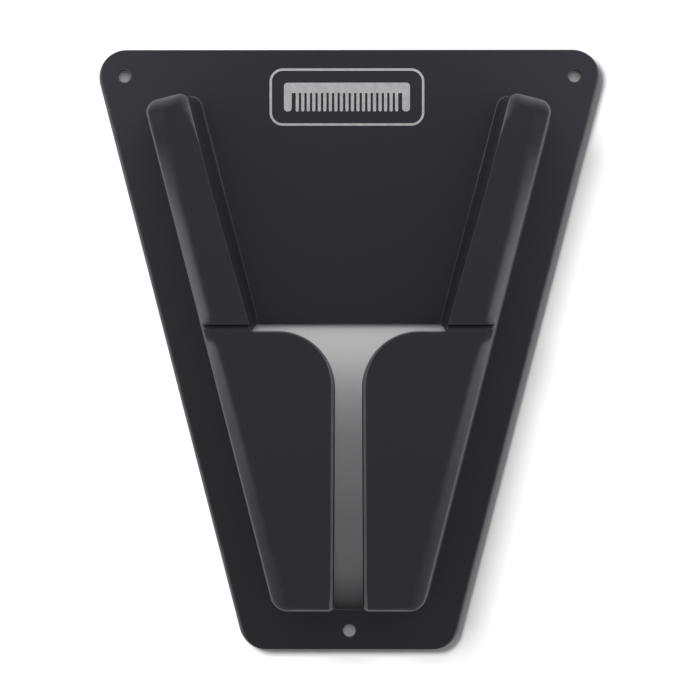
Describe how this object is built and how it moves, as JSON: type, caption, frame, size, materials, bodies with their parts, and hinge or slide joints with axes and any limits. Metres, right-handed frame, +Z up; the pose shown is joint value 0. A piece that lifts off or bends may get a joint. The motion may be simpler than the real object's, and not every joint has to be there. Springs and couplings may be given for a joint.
{
  "type": "wall-mounted hair clipper holder",
  "caption": "Wall-mounted holder for a hair clipper: tapering plate with screw holes, raised side arms, and a front pocket split by a cord slot.",
  "frame": {"origin": "midpoint between the two upper screw holes, on the wall plane at the back of the plate", "axes": "+Z up the wall, +Y into the wall, +X to the right as seen from the front; the front faces -Y"},
  "size_m": [0.167, 0.038, 0.2],
  "materials": {
    "black_abs": "satin moulded black ABS with a fine grain",
    "silver_ink": "silver-grey pad-printed ink"
  },
  "bodies": {
    "root": {"mounting_plate": "black_abs", "left_arm": "black_abs", "right_arm": "black_abs", "left_pocket_half": "black_abs", "right_pocket_half": "black_abs", "badge_border": "silver_ink", "badge_comb": "silver_ink"}
  },
  "joints": []
}
